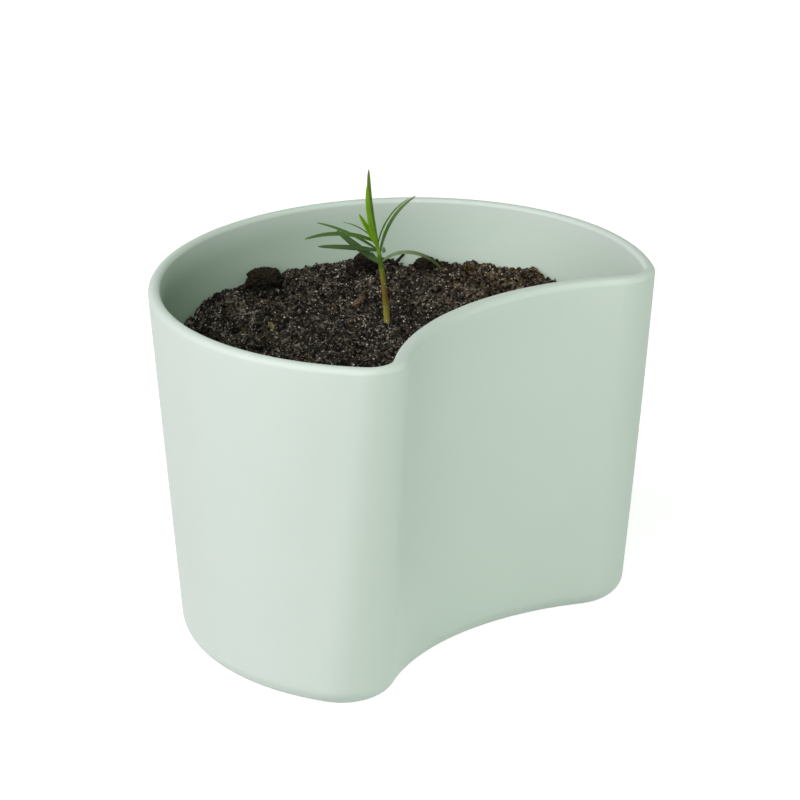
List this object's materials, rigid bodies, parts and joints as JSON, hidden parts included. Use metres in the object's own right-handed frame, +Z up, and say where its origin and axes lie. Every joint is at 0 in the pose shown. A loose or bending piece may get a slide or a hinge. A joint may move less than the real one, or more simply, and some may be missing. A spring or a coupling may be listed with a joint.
{
  "type": "flower pot",
  "caption": "Bean-shaped plastic flower pot with a concave side, filled with compost and planted with a conifer seedling.",
  "frame": {"origin": "centre of the pot's footprint box, on the ground", "axes": "+Z up; +X along the pot's longest side, tip to tip; the concave side faces -Y; the pot mirrors across X = 0"},
  "size_m": [0.1448, 0.1203, 0.133],
  "materials": {
    "pot": "satin-matt moulded plastic, pale sage green",
    "compost": "loose dark peat-like compost with fine pale grit",
    "clod": "dark lump of compost",
    "bark": "rough bark",
    "twig": "rough dry wood",
    "stem": "smooth green-brown seedling stem",
    "needle": "satin green needle",
    "young_needle": "satin bright green needle"
  },
  "bodies": {
    "pot": {"pot_shell": "pot"},
    "planting": {"compost": "compost", "clod_left": "clod", "clod_middle": "clod", "clod_right": "clod", "bark_chip": "bark", "twig": "twig", "stem": "stem", "needle_left_broad": "needle", "needle_right_droop": "needle", "needle_left_low": "needle", "needle_left_top": "needle", "needle_right_outer": "needle", "needle_right_inner": "needle", "needle_left_long": "needle", "needle_left_small": "needle", "needle_crown_tall": "young_needle", "needle_crown_second": "young_needle", "needle_crown_short": "young_needle", "bud": "young_needle"}
  },
  "joints": [
    {"name": "planting_lift", "type": "slide", "parent": "pot", "child": "planting", "axis": [0, 0, 1], "range_m": [0, 0.12]}
  ]
}
